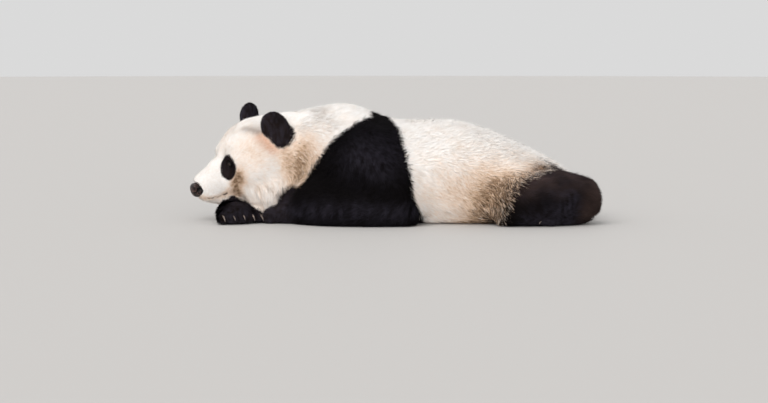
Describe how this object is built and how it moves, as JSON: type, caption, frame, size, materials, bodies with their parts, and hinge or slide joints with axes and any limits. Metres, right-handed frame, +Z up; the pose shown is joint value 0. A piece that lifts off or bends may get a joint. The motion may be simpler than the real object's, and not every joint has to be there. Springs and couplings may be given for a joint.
{
  "type": "giant panda",
  "caption": "Life-size giant panda lying on its belly, chin on a folded forepaw, in one still pose: black and white coat, round ears, dark eye patches.",
  "frame": {"origin": "on the floor, under the middle of the animal's outline", "axes": "+Z up, -X towards the nose, -Y out of the animal's left flank"},
  "size_m": [1.4598, 0.7142, 0.423],
  "materials": {
    "white_coat": "long soft fur, cream white",
    "black_coat": "dense fur, brownish black",
    "nose_leather": "bare damp skin",
    "eye_brown": "wet and glossy"
  },
  "bodies": {
    "root": {"trunk": "white_coat", "neck": "white_coat", "head": "white_coat", "tail": "white_coat", "ear_left": "black_coat", "ear_right": "black_coat", "foreleg_left": "black_coat", "foreleg_right": "black_coat", "hindleg_left": "black_coat", "hindleg_right": "black_coat", "eye_left": "eye_brown", "eye_right": "eye_brown", "nose": "nose_leather"}
  },
  "joints": []
}
